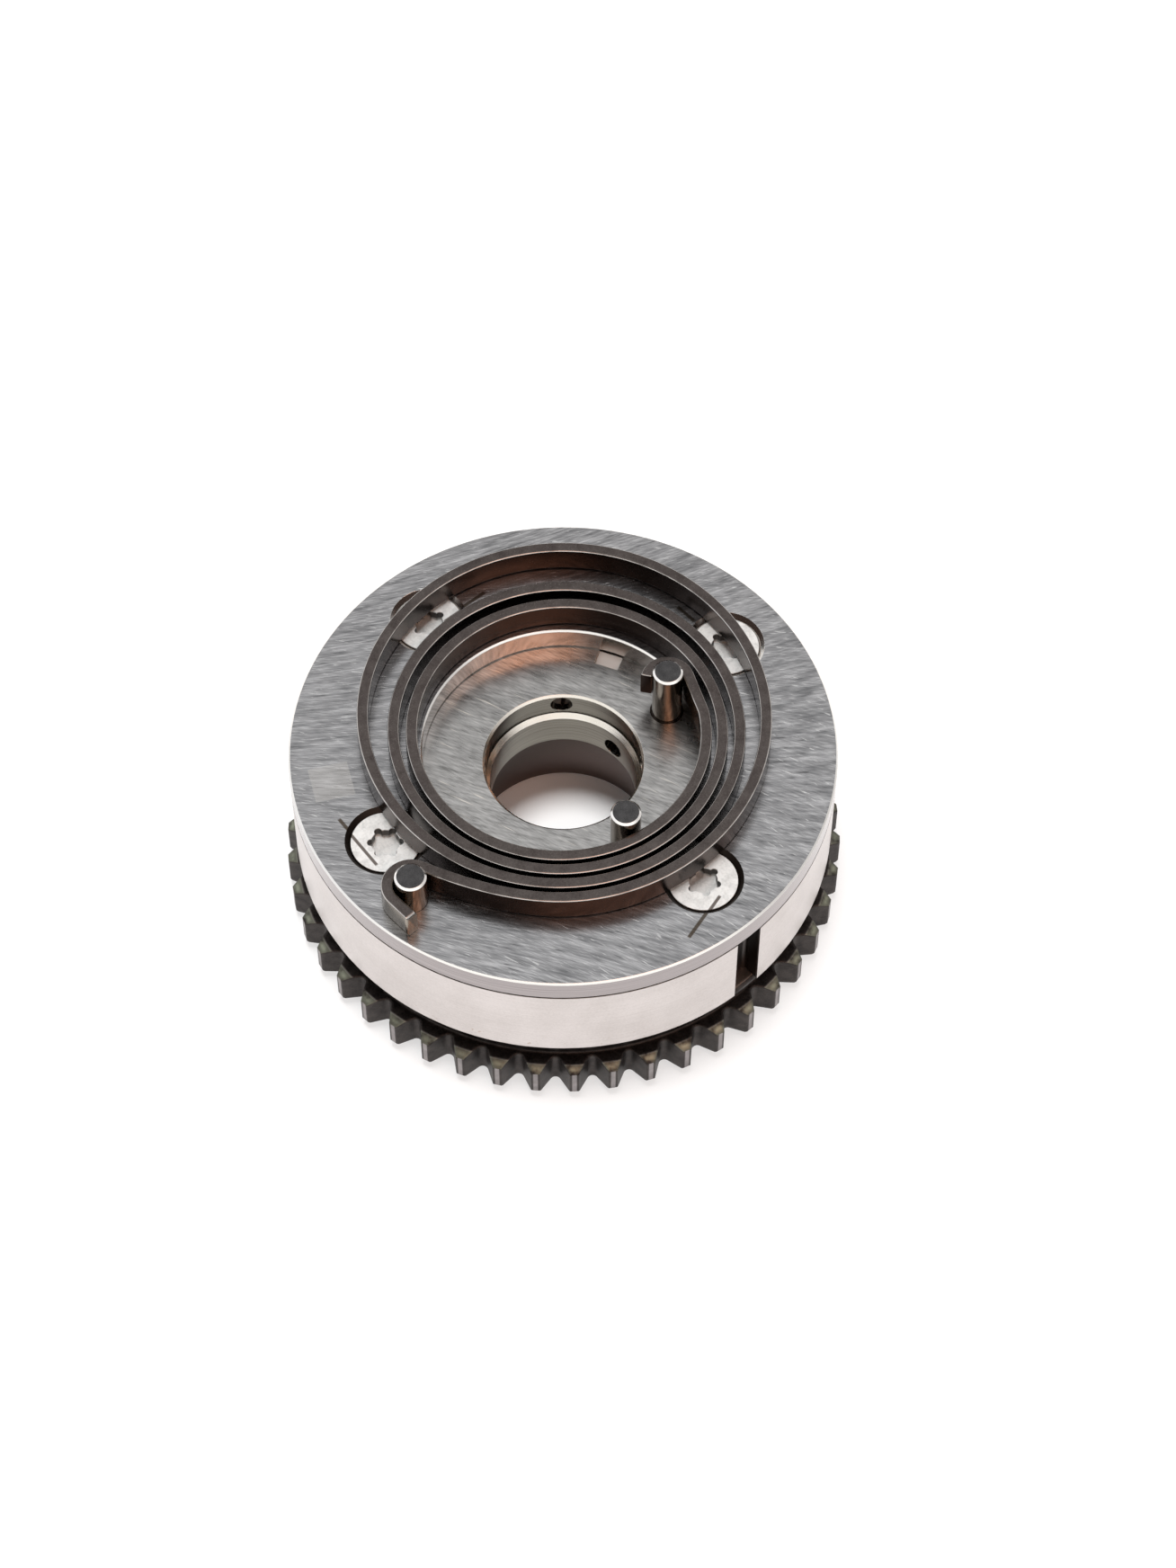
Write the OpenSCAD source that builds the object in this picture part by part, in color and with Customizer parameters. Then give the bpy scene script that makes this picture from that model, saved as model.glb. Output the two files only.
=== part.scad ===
// Hydraulic vane cam phaser with an inverted-tooth chain sprocket and a spiral bias spring.
// Millimetres. Z is the axis of rotation, and Z = 0 is the rear face that the part stands on.

/* [Sprocket] */
// Pitch of the inverted-tooth timing chain
chain_pitch = 6.35; // [6:0.05:7]
// Number of sprocket teeth
tooth_count = 46; // [44:2:50]
// Height of the tooth tips above the pitch circle
tip_rise = 0.45; // [0:0.05:0.7]
// Width of the flat on a tooth tip
tip_land = 1.3; // [0.8:0.1:1.8]
// Angle of a tooth flank to the centre line of its gap, in degrees
flank_angle = 34.5; // [32:0.5:37]
// Radius at the bottom of a tooth gap
root_fillet = 0.95; // [0.7:0.05:1.1]
// Height of the toothed rim above the rear face
rim_set = 1.6; // [1.2:0.1:2]
// Thickness of the toothed rim
tooth_t = 6.6; // [5.8:0.1:7.4]
// Radial width of the bevel on the front of the teeth
tooth_bevel_w = 1.5; // [1:0.1:2]
// Height of that bevel
tooth_bevel_h = 0.8; // [0.4:0.05:1.1]
// Edge break on the rear of the teeth
tooth_edge = 0.3; // [0.1:0.05:0.6]
// Direction of one tooth about the axis, in degrees
tooth_angle = -88.25; // [-92:0.25:-86]
// Height of the sprocket from its rear face to the housing
sprocket_h = 13.4; // [12:0.2:16]
// Radial step from the tooth roots in to the neck
neck_step = 0.9; // [0.5:0.1:1.5]
// Height of the flange that the housing sits on
flange_t = 1.2; // [0.8:0.1:2]
// How far the flange stays inside the housing
flange_inset = 0.6; // [0.4:0.1:1.2]
// Edge break on the flange and the rear face
flange_chamfer = 0.4; // [0.2:0.1:0.7]
// Radial wall of the rim behind the tooth roots
rim_wall = 6; // [4.5:0.5:7]
// Depth of the ring-shaped recess in the rear face
recess_depth = 5; // [3:0.2:6]
// Radial wall of the bearing hub round the rotor collar
plate_hub_wall = 5.4; // [4:0.2:6.5]

/* [Housing] */
// Outer radius of the housing and the cover
body_r = 45.2; // [44.6:0.2:47]
// Height of the housing
housing_h = 16.2; // [15:0.2:20]
// Radial wall outside the oil chambers
housing_wall = 6.2; // [5.6:0.1:6.8]
// Half angle of the webs between the oil chambers, in degrees
web_half_angle = 15; // [13:0.5:16]
// Width of the slot down the outside
slot_w = 5; // [3:0.5:6]
// Depth of that slot
slot_depth = 3.3; // [2:0.1:4]
// Corner radius at the bottom of that slot
slot_fillet = 0.7; // [0.4:0.1:1.2]

/* [Front cover] */
// Thickness of the cover
cover_t = 4.4; // [4.2:0.1:6]
// Radial room round the rotor pins in the hole that shows the rotor face
cover_pin_room = 0.7; // [0.5:0.1:1.2]
// Edge break on the rims of the cover
cover_edge = 0.3; // [0.1:0.1:0.6]

/* [Cover screws] */
// Wall between a screw hole and the seal slot of its web
web_wall = 1.1; // [0.8:0.1:1.6]
// Direction of the first screw and its web about the axis, in degrees
screw_angle_1 = -148.2; // [-149:0.1:-147.2]
// Direction of the second screw, its web and the slot down the outside, in degrees
screw_angle_2 = -48.9; // [-50:0.1:-48]
// Direction of the third screw and its web, in degrees
screw_angle_3 = 36.6; // [36:0.1:38]
// Direction of the fourth screw and its web, in degrees
screw_angle_4 = 131.2; // [130:0.1:132]
// Thread diameter
screw_d = 6; // [5:0.5:6]
// Length from the top of the head to the tip
screw_len = 25.5; // [24:0.5:26.5]
// Chamfer on the tip of the screws
screw_tip = 0.8; // [0.5:0.1:1.2]
// Diameter of the flat head
screw_head_d = 11.3; // [10:0.1:11.6]
// Diameter of the countersink at the face of the cover
countersink_d = 13.2; // [12.6:0.1:13.6]
// Straight edge of the head above its cone
screw_head_edge = 0.35; // [0.2:0.05:0.5]
// Outer diameter of the six-lobe recess
recess_d = 6; // [5.4:0.1:6.3]
// Diameter of the round middle of the recess
recess_core_d = 4.7; // [4.4:0.05:4.9]
// Diameter of a lobe of the recess
recess_lobe_d = 1.3; // [1.1:0.1:1.5]
// Depth of that recess
recess_h = 2.2; // [1.6:0.1:2.4]
// Turn of the recess from the line to the axis, in degrees
recess_turn = 30; // [0:1:59]

/* [Rotor] */
// Radius of the rotor hub between its vanes
hub_r = 27; // [26.4:0.1:27.6]
// Direction of the vane that carries the lock pin, in degrees
lock_angle = 69; // [68:0.5:70]
// Half angle of the plain vanes, in degrees
vane_half_angle = 11; // [8:0.5:11.5]
// Half angle of the lock vane, in degrees
lock_vane_half_angle = 13; // [12.5:0.5:14]
// Radius of the front end of the centre bore
front_bore_r = 13; // [12.8:0.1:13.6]
// Length of the front end of the centre bore
front_bore_len = 4.8; // [4.2:0.1:5.4]
// Edge break on the front of the centre bore
front_bore_edge = 0.4; // [0.2:0.1:0.6]
// Radius of the control valve bore
valve_bore_r = 12.2; // [11.4:0.1:12.4]
// Radius of the bore that takes the camshaft nose
nose_bore_r = 16; // [15:0.1:16.4]
// Depth of the camshaft nose bore
nose_bore_len = 16.8; // [15.4:0.1:17.4]
// Lead-in chamfer on the camshaft nose bore
nose_edge = 0.6; // [0.3:0.1:0.8]
// Outer radius of the rear collar, which is the bearing journal
collar_r = 19; // [18.4:0.1:19.8]
// Distance of the collar and its hub inside the rear face
rear_set = 1; // [0.6:0.1:1.6]
// Diameter of the front oil ports and of the lock pin's port
port_d = 3.6; // [2.6:0.1:3.8]
// Diameter of the rear oil ports
rear_port_d = 2.6; // [2:0.1:2.8]
// Depth of the front row of ports below the rotor face
front_port_depth = 2.3; // [2.2:0.1:2.6]
// Depth of the lock pin's port below the rotor face
lock_port_depth = 9.5; // [8.6:0.1:9.8]
// Angle from a vane to its ports at the bore, in degrees
port_angle_in = 23.5; // [21:0.5:26]
// Angle from a vane to its ports at the hub, in degrees
port_angle_out = 17; // [16:0.5:19]
// Diameter of the hole for the camshaft's locating dowel
dowel_d = 2.6; // [2:0.1:3]
// Depth of that hole
dowel_depth = 3; // [2:0.2:3.4]

/* [Spring pins] */
// Radius of the circle of the two rotor pins
pin_circle_r = 20; // [19.4:0.1:20.2]
// Direction of the pin that holds the inner end of the spring, in degrees
hook_pin_angle = 30; // [28:0.5:33]
// Direction of the pin that guides the inner turn, in degrees
guide_pin_angle = -60; // [-66:0.5:-54]
// Diameter of the rotor pins
rotor_pin_d = 5; // [4:0.1:5.2]
// Depth of the rotor pins in the rotor
rotor_pin_seat = 8; // [6:0.2:9]
// Radial distance from the start of the coil out to the outer pin
anchor_out = 5.85; // [5.6:0.05:6.2]
// Direction of the outer pin, in degrees
anchor_angle = -130; // [-132:0.5:-128]
// Diameter of the outer pin
anchor_pin_d = 5.2; // [4.6:0.1:5.4]
// Height of all three pins above the cover
pin_rise = 7; // [6:0.1:9]
// Chamfer on the top of the pins
pin_chamfer = 0.35; // [0.2:0.05:0.6]

/* [Bias spring] */
// Thickness of the spring strip
strip_t = 1.9; // [1.5:0.05:2]
// Height of the spring strip
strip_h = 4.8; // [4:0.1:5.4]
// Radial room between the rotor pins and the centre line at the end of the coil
coil_room = 0.85; // [0.8:0.01:1]
// Radial pitch of the turns
coil_pitch = 2.6; // [2.5:0.02:2.64]
// How far the free outer turn bulges out
coil_bulge = 6.65; // [5:0.05:7]
// Direction of that bulge, in degrees
bulge_angle = 96; // [90:1:102]
// Share of the bulge that passes on to the next turn in
bulge_decay = 0.17; // [0.1:0.01:0.2]
// Centre-line radius of the outer hook
hook_r = 3.85; // [3.8:0.05:4.2]
// Direction from the outer pin in which its hook has room, in degrees
hook_lean = -90; // [-110:1:-70]
// Direction in which the outer hook runs out straight, seen from its centre, in degrees
hook_start = 223; // [216:1:230]
// Length of the straight end of the outer hook
hook_tail = 4.7; // [3:0.1:5]
// Direction in which the outer hook passes into the coil, seen from its centre, in degrees
hook_end = 66; // [62:1:70]
// Angle about the axis over which the hook runs out into the coil, in degrees
coil_lead_sweep = 42; // [38:1:48]
// Direction in which the inner turn leaves the coil for its pin, in degrees
coil_end_angle = 9; // [5:0.5:12]
// Direction in which the inner end stops, seen from its pin, in degrees
wrap_end = 172; // [160:1:180]

/* [Lock pin] */
// Diameter of the lock pin
lock_pin_d = 6.6; // [6:0.1:6.8]
// Diameter of its nose
lock_nose_d = 5.6; // [5:0.1:5.8]
// Length of its nose
lock_nose_len = 2.4; // [2:0.1:3]
// Edge break on its nose
lock_nose_edge = 0.4; // [0.2:0.1:0.6]
// Wall round the spring well of the lock pin
lock_pin_wall = 1.1; // [0.9:0.05:1.2]
// Floor between its nose and the spring well
lock_pin_floor = 1; // [0.6:0.1:1.4]
// Length of the whole lock pin
lock_pin_len = 8.6; // [7.6:0.1:9.2]
// Wall between the lock pin's bore and the seal slot of its vane
lock_wall = 1.8; // [1:0.1:2.2]
// Thickness of the cap over the lock spring
lock_cap_t = 3; // [2.4:0.1:3.4]
// Width of the vent groove from the cap to the rotor face
vent_w = 4.2; // [3:0.1:4.6]
// Depth of the vent groove under the cover
vent_depth = 0.4; // [0.3:0.05:0.6]
// Depth of the vent groove at its open end
vent_end_depth = 1.2; // [0.8:0.1:1.6]
// Radius at which the vent groove ends
vent_end_r = 20.3; // [20:0.1:21]
// Wire diameter of the lock spring
lock_wire_d = 0.6; // [0.4:0.05:0.7]
// Number of turns of the lock spring
lock_spring_turns = 6; // [5:1:7]
// Outer diameter of the hardened bush that the nose locks into
lock_bush_d = 10; // [9:0.2:10.4]
// Height of that bush
lock_bush_h = 4; // [3.4:0.2:5]
// Lead-in chamfer on the mouth of that bush
lock_bush_edge = 0.5; // [0.3:0.1:0.8]
// Diameter of the drain hole below the bush
drain_d = 2.4; // [1.6:0.2:3]

/* [Seals] */
// Width of the seal strips
seal_w = 2.1; // [1.6:0.1:2.4]
// Radial height of the seal strips
seal_h = 2; // [1.7:0.05:2.1]
// Radial room for the leaf spring behind a seal
leaf_room = 0.6; // [0.5:0.05:0.7]
// Thickness of the leaf springs
leaf_t = 0.2; // [0.1:0.05:0.25]
// Distance of each end of a leaf spring from the end of its seal
leaf_end = 1.6; // [1:0.1:3]

/* [Fits] */
// Radial clearance of the running fits
run_gap = 0.04; // [0.02:0.01:0.08]
// Clearance of the seals in their slots and on their tracks
seal_gap = 0.05; // [0.03:0.01:0.08]
// Radial clearance at the vane tips and webs
tip_gap = 0.35; // [0.3:0.05:0.5]
// Axial clearance on each side of the rotor
side_gap = 0.03; // [0.02:0.01:0.06]
// Clearance between pieces that are fixed together
seat_gap = 0.02; // [0.01:0.01:0.05]
// Radial clearance of the screws in their holes
screw_gap = 0.25; // [0.1:0.05:0.3]
// Clearance between the spring and the pieces it lies on
spring_gap = 0.1; // [0.05:0.05:0.2]
// Distance of the lock pin's nose from the plate while it is drawn back
lock_clear = 0.3; // [0.2:0.1:0.6]

/* [Hidden] */
$fn = 96;
over = 1;
tooth_step = 360 / tooth_count;
tip_r = chain_pitch / (2 * sin(180 / tooth_count)) + tip_rise;
gap_half_w = (2 * PI * tip_r / tooth_count - tip_land) / 2;
gap_fillet_r = tip_r - (gap_half_w - root_fillet / cos(flank_angle)) / tan(flank_angle);
root_r = gap_fillet_r - root_fillet;
neck_r = root_r - neck_step;
tooth_top = rim_set + tooth_t;
rim_in_r = root_r - rim_wall;
flange_r = body_r - flange_inset;
journal_r = collar_r + run_gap;
plate_hub_r = journal_r + plate_hub_wall;

chamber_r = body_r - housing_wall;
cover_z = sprocket_h + housing_h;
top_z = cover_z + cover_t;
web_in_r = hub_r + tip_gap;
vane_tip_r = chamber_r - tip_gap;
rotor_z = sprocket_h + side_gap;
rotor_top = cover_z - side_gap;
rotor_h = rotor_top - rotor_z;
nose_seat_z = rear_set + nose_bore_len;
rear_port_z = (rotor_z + nose_seat_z) / 2;
step_z = rotor_top - front_bore_len;

screw_angles = [screw_angle_1, screw_angle_2, screw_angle_3, screw_angle_4];
vane_count = len(screw_angles);
screw_r = screw_d / 2;
screw_hole_r = screw_r + screw_gap;
seal_slot_depth = seal_h + leaf_room - tip_gap + seal_gap;
screw_circle_r = web_in_r + seal_slot_depth + web_wall + screw_hole_r;
screw_cone_z = top_z - (countersink_d - screw_head_d) / 2 + seat_gap;
screw_head_z = screw_cone_z + screw_head_edge;

lock_bore_r = lock_pin_d / 2 + run_gap;
lock_r = vane_tip_r - seal_slot_depth - lock_wall - lock_bore_r;
lock_z = rotor_z + lock_clear;
lock_cap_z = rotor_top - lock_cap_t - side_gap;
lock_well_r = lock_pin_d / 2 - lock_pin_wall;
lock_well_z = lock_z + lock_nose_len + lock_pin_floor;
lock_spring_r = lock_well_r - lock_wire_d / 2 - spring_gap;

seal_len = rotor_h - 2 * side_gap;
leaf_len = seal_len - 2 * leaf_end;
leaf_bow = leaf_room - leaf_t - seal_gap;

pin_out_r = pin_circle_r + rotor_pin_d / 2;
cover_bore_r = pin_out_r + cover_pin_room;
pin_top = top_z + pin_rise;
strip_z = top_z + spring_gap;
coil_turns = 3;
coil_end_r = pin_out_r + coil_room;
coil_r = coil_end_r + coil_pitch * (coil_turns + (coil_end_angle - anchor_angle) / 360);
anchor_r = coil_r + anchor_out;
anchor_p = anchor_r * [cos(anchor_angle), sin(anchor_angle)];
hook_pin_p = pin_circle_r * [cos(hook_pin_angle), sin(hook_pin_angle)];

// Puts its children at a radius and a direction about the axis
module at_polar(r, angle) {
    rotate(angle) translate([r, 0, 0]) children();
}

// A pie slice about +X, reaching past the given radius
module slice_2d(r, half_angle) {
    reach = 2 * r;
    x = reach * cos(half_angle);
    y = reach * sin(half_angle);
    polygon([[0, 0], [x, -y], [reach, 0], [x, y]]);
}

// A turned pin with a chamfered top
module dowel(r, z0, z1) {
    rotate_extrude()
        polygon([[0, z0], [r, z0], [r, z1 - pin_chamfer], [r - pin_chamfer, z1], [0, z1]]);
}

function vane_angle(i) = lock_angle + i * 360 / vane_count;

// One gap between two teeth: a round bottom with straight flanks that open outwards
module tooth_gap_2d() {
    reach = tip_r + over;
    foot_x = gap_fillet_r - root_fillet * sin(flank_angle);
    foot_y = root_fillet * cos(flank_angle);
    mouth_y = root_fillet / cos(flank_angle) + (reach - gap_fillet_r) * tan(flank_angle);
    translate([gap_fillet_r, 0]) circle(root_fillet);
    polygon([[foot_x, -foot_y], [reach, -mouth_y], [reach, mouth_y], [foot_x, foot_y]]);
}

// Turned and recessed blank of the sprocket, which is also the rear wall of the oil chambers
module sprocket_blank() {
    flange_z = sprocket_h - flange_t;
    rotate_extrude() polygon([
        [journal_r, rear_set], [plate_hub_r, rear_set], [plate_hub_r, recess_depth],
        [rim_in_r, recess_depth], [rim_in_r, 0], [neck_r - flange_chamfer, 0],
        [neck_r, flange_chamfer], [neck_r, rim_set], [tip_r - tooth_edge, rim_set],
        [tip_r, rim_set + tooth_edge], [tip_r, tooth_top - tooth_bevel_h],
        [tip_r - tooth_bevel_w, tooth_top], [neck_r, tooth_top],
        [neck_r, flange_z], [flange_r, flange_z],
        [flange_r, sprocket_h - flange_chamfer], [flange_r - flange_chamfer, sprocket_h],
        [journal_r, sprocket_h]
    ]);
}

module sprocket() {
    color("#4b4643") difference() {
        sprocket_blank();
        for (i = [0 : tooth_count - 1])
            rotate(tooth_angle + (i + 0.5) * tooth_step)
                translate([0, 0, rim_set - over]) linear_extrude(tooth_t + 2 * over) tooth_gap_2d();
        for (a = screw_angles)
            at_polar(screw_circle_r, a) cylinder(r = screw_r + seat_gap, h = sprocket_h + over);
        at_polar(lock_r, lock_angle) {
            translate([0, 0, sprocket_h - lock_bush_h])
                cylinder(d = lock_bush_d + 2 * seat_gap, h = lock_bush_h + over);
            cylinder(d = drain_d, h = sprocket_h);
        }
    }
}

// Hardened bush for the nose of the lock pin, with a lead-in at its mouth
module lock_bush() {
    bush_r = lock_bush_d / 2;
    bore_r = lock_nose_d / 2 + run_gap;
    z0 = sprocket_h - lock_bush_h + seat_gap;
    z1 = sprocket_h - seat_gap;
    color("#6c6a68") at_polar(lock_r, lock_angle) rotate_extrude() polygon([
        [bore_r, z0], [bush_r, z0], [bush_r, z1],
        [bore_r + lock_bush_edge, z1], [bore_r, z1 - lock_bush_edge]
    ]);
}

// Slot for a seal strip, cut along +X from the radius of its mouth
module seal_slot_2d(mouth_r, inwards) {
    depth = seal_slot_depth + over;
    w = seal_w + 2 * seal_gap;
    x = inwards ? mouth_r - seal_slot_depth : mouth_r - over;
    translate([x, -w / 2]) square([depth, w]);
}

// Slot down the outside, with rounded corners at its bottom
module body_slot_2d() {
    floor_x = body_r - slot_depth;
    side = slot_w / 2 - slot_fillet;
    translate([floor_x + slot_fillet, -slot_w / 2]) square([slot_depth + over, slot_w]);
    translate([floor_x, -side]) square([slot_depth + over, 2 * side]);
    for (s = [-1, 1])
        translate([floor_x + slot_fillet, s * side]) circle(slot_fillet);
}

// Ring with four webs that part the oil chambers, seen along the axis
module housing_2d() {
    difference() {
        circle(body_r);
        difference() {
            circle(chamber_r);
            for (a = screw_angles)
                rotate(a) slice_2d(chamber_r, web_half_angle);
        }
        circle(web_in_r);
        for (a = screw_angles) rotate(a) {
            translate([screw_circle_r, 0]) circle(screw_hole_r);
            seal_slot_2d(web_in_r, false);
        }
        rotate(screw_angles[1]) body_slot_2d();
    }
}

module housing() {
    color("#d9d4cf") translate([0, 0, sprocket_h]) linear_extrude(housing_h) housing_2d();
}

module front_cover() {
    e = cover_edge;
    csk_r = countersink_d / 2;
    color("#9aa0a6") difference() {
        rotate_extrude() polygon([
            [cover_bore_r + e, cover_z], [body_r - e, cover_z], [body_r, cover_z + e],
            [body_r, top_z - e], [body_r - e, top_z], [cover_bore_r + e, top_z],
            [cover_bore_r, top_z - e], [cover_bore_r, cover_z + e]
        ]);
        for (a = screw_angles) at_polar(screw_circle_r, a) {
            translate([0, 0, cover_z - over]) cylinder(r = screw_hole_r, h = cover_t + 2 * over);
            translate([0, 0, top_z - csk_r]) cylinder(r1 = 0, r2 = csk_r + over, h = csk_r + over);
        }
        at_polar(anchor_r, anchor_angle) translate([0, 0, cover_z - over])
            cylinder(d = anchor_pin_d + 2 * seat_gap, h = cover_t + 2 * over);
    }
}

// Six-lobe driver recess
module six_lobe_2d() {
    circle(d = recess_core_d);
    for (a = [0 : 60 : 300])
        rotate(a) translate([(recess_d - recess_lobe_d) / 2, 0]) circle(d = recess_lobe_d);
}

module cover_screw() {
    head_r = screw_head_d / 2;
    end_z = screw_head_z - screw_len;
    difference() {
        rotate_extrude() polygon([
            [0, end_z], [screw_r - screw_tip, end_z], [screw_r, end_z + screw_tip],
            [screw_r, screw_cone_z - (head_r - screw_r)], [head_r, screw_cone_z],
            [head_r, screw_head_z], [0, screw_head_z]
        ]);
        translate([0, 0, screw_head_z - recess_h]) linear_extrude(recess_h + over) six_lobe_2d();
    }
}

// Four flat-head screws that clamp the cover and the housing to the sprocket
module cover_screws() {
    color("#d5d6d2")
        for (a = screw_angles) at_polar(screw_circle_r, a) rotate(recess_turn) cover_screw();
}

module anchor_pin() {
    color("#67666a") at_polar(anchor_r, anchor_angle)
        dowel(anchor_pin_d / 2, cover_z + seat_gap, pin_top);
}

module rotor_2d() {
    difference() {
        union() {
            circle(hub_r);
            intersection() {
                circle(vane_tip_r);
                for (i = [0 : vane_count - 1])
                    rotate(vane_angle(i))
                        slice_2d(chamber_r, i == 0 ? lock_vane_half_angle : vane_half_angle);
            }
        }
        for (i = [0 : vane_count - 1])
            rotate(vane_angle(i)) seal_slot_2d(vane_tip_r, true);
    }
}

// Stepped centre bore, cut from both ends of the rotor
module centre_bore() {
    step = front_bore_r - valve_bore_r;
    mouth = front_bore_r + front_bore_edge + over;
    nose_mouth = nose_bore_r + nose_edge + over;
    rotate_extrude() polygon([
        [0, rear_set - over], [nose_mouth, rear_set - over], [nose_bore_r, rear_set + nose_edge],
        [nose_bore_r, nose_seat_z], [valve_bore_r, nose_seat_z], [valve_bore_r, step_z - step],
        [front_bore_r, step_z], [front_bore_r, rotor_top - front_bore_edge],
        [mouth, rotor_top + over], [0, rotor_top + over]
    ]);
}

// An oil port drilled from the centre bore to the hub, slanting towards its vane
module oil_port(d, z, angle_in, angle_out) {
    from = (valve_bore_r - over) * [cos(angle_in), sin(angle_in)];
    to = (hub_r + over) * [cos(angle_out), sin(angle_out)];
    run = to - from;
    translate([from.x, from.y, z]) rotate([0, 90, atan2(run.y, run.x)])
        cylinder(d = d, h = norm(run));
}

// Vent groove from the cap to the rotor face, with an open end that slopes down towards the axis
module vent_groove() {
    mouth_z = rotor_top + over;
    rotate(lock_angle) translate([0, vent_w / 2, 0]) rotate([90, 0, 0]) linear_extrude(vent_w)
        polygon([
            [vent_end_r, rotor_top - vent_end_depth], [cover_bore_r, rotor_top - vent_depth],
            [lock_r, rotor_top - vent_depth], [lock_r, mouth_z], [vent_end_r, mouth_z]
        ]);
}

module rotor() {
    dowel_r = (valve_bore_r + nose_bore_r) / 2;
    color("#a4a5a3") difference() {
        union() {
            translate([0, 0, rotor_z]) linear_extrude(rotor_h) rotor_2d();
            translate([0, 0, rear_set]) cylinder(r = collar_r, h = rotor_z + over - rear_set);
        }
        centre_bore();
        for (i = [0 : vane_count - 1]) {
            v = vane_angle(i);
            oil_port(port_d, rotor_top - front_port_depth, v + port_angle_in, v + port_angle_out);
            oil_port(rear_port_d, rear_port_z, v - port_angle_in, v - port_angle_out);
        }
        oil_port(port_d, rotor_top - lock_port_depth, lock_angle - port_angle_in,
            lock_angle - port_angle_out);
        for (a = [hook_pin_angle, guide_pin_angle])
            at_polar(pin_circle_r, a) translate([0, 0, rotor_top - rotor_pin_seat])
                cylinder(d = rotor_pin_d + 2 * seat_gap, h = rotor_pin_seat + over);
        at_polar(lock_r, lock_angle) translate([0, 0, rotor_z - over])
            cylinder(r = lock_bore_r, h = rotor_h + 2 * over);
        vent_groove();
        at_polar(dowel_r, lock_angle) translate([0, 0, nose_seat_z - over])
            cylinder(d = dowel_d, h = dowel_depth + over);
    }
}

module rotor_pin(angle) {
    color("#67666a") at_polar(pin_circle_r, angle)
        dowel(rotor_pin_d / 2, rotor_top - rotor_pin_seat + seat_gap, pin_top);
}

module hook_pin() {
    rotor_pin(hook_pin_angle);
}

module guide_pin() {
    rotor_pin(guide_pin_angle);
}

// Centre line of the spiral spring, from the end of its outer hook to the end of its inner hook
coil_step = 5;
hook_room = hook_r - strip_t / 2 - anchor_pin_d / 2 - spring_gap;
hook_c = anchor_p + hook_room * [cos(hook_lean), sin(hook_lean)];
coil_p0 = hook_c + hook_r * [cos(hook_end), sin(hook_end)];
coil_a0 = atan2(coil_p0.y, coil_p0.x);
coil_lead = norm(coil_p0) - coil_r;
coil_sweep = coil_turns * 360 + coil_end_angle - coil_a0;

// Outward bulge at a direction, which fades from each turn to the next
function bulge(a) =
    let (past = a - bulge_angle + 180)
    past < 0 ? 0 : coil_bulge * pow(bulge_decay, floor(past / 360)) * pow(abs(sin(past / 2)), 3);
function lead(s) = s > coil_lead_sweep ? 0 : coil_lead * pow(1 - s / coil_lead_sweep, 3);
function coil_radius(s) = coil_r - coil_pitch * s / 360 + bulge(coil_a0 + s) + lead(s);
function coil_point(s) = coil_radius(s) * [cos(coil_a0 + s), sin(coil_a0 + s)];

coil_p1 = coil_point(coil_sweep);
wrap_r = rotor_pin_d / 2 + spring_gap + strip_t / 2;
wrap_reach = coil_p1 - hook_pin_p;
wrap_start = atan2(wrap_reach.y, wrap_reach.x) + acos(wrap_r / norm(wrap_reach));
wrap_steps = 12;

spring_line = concat(
    [hook_c + hook_r * [cos(hook_start), sin(hook_start)]
        + hook_tail * [-sin(hook_start), cos(hook_start)]],
    [for (a = [hook_start : -2 * coil_step : hook_end + coil_step])
        hook_c + hook_r * [cos(a), sin(a)]],
    [for (s = [0 : coil_step : coil_sweep]) coil_point(s)],
    [for (i = [0 : wrap_steps])
        let (a = wrap_start + i * (wrap_end - wrap_start) / wrap_steps)
        hook_pin_p + wrap_r * [cos(a), sin(a)]]
);

function unit(v) = v / norm(v);
function left_of(v) = [-v.y, v.x];
function line_side(i) =
    let (last = len(spring_line) - 1)
    left_of(unit(spring_line[min(i + 1, last)] - spring_line[max(i - 1, 0)]));

// Flat spiral spring of rectangular strip, hooked round the pin on the cover and a rotor pin
module bias_spring() {
    last = len(spring_line) - 1;
    inner = [for (i = [0 : last]) spring_line[i] + strip_t / 2 * line_side(i)];
    outer = [for (i = [last : -1 : 0]) spring_line[i] - strip_t / 2 * line_side(i)];
    color("#4a413d") translate([0, 0, strip_z]) linear_extrude(strip_h)
        polygon(concat(inner, outer));
}

// Hollow lock pin, drawn back into its vane
module lock_pin() {
    pin_r = lock_pin_d / 2;
    nose_r = lock_nose_d / 2;
    shoulder_z = lock_z + lock_nose_len;
    end_z = lock_z + lock_pin_len;
    color("#77777a") at_polar(lock_r, lock_angle) rotate_extrude() polygon([
        [0, lock_z], [nose_r - lock_nose_edge, lock_z], [nose_r, lock_z + lock_nose_edge],
        [nose_r, shoulder_z], [pin_r, shoulder_z], [pin_r, end_z], [lock_well_r, end_z],
        [lock_well_r, lock_well_z], [0, lock_well_z]
    ]);
}

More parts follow.
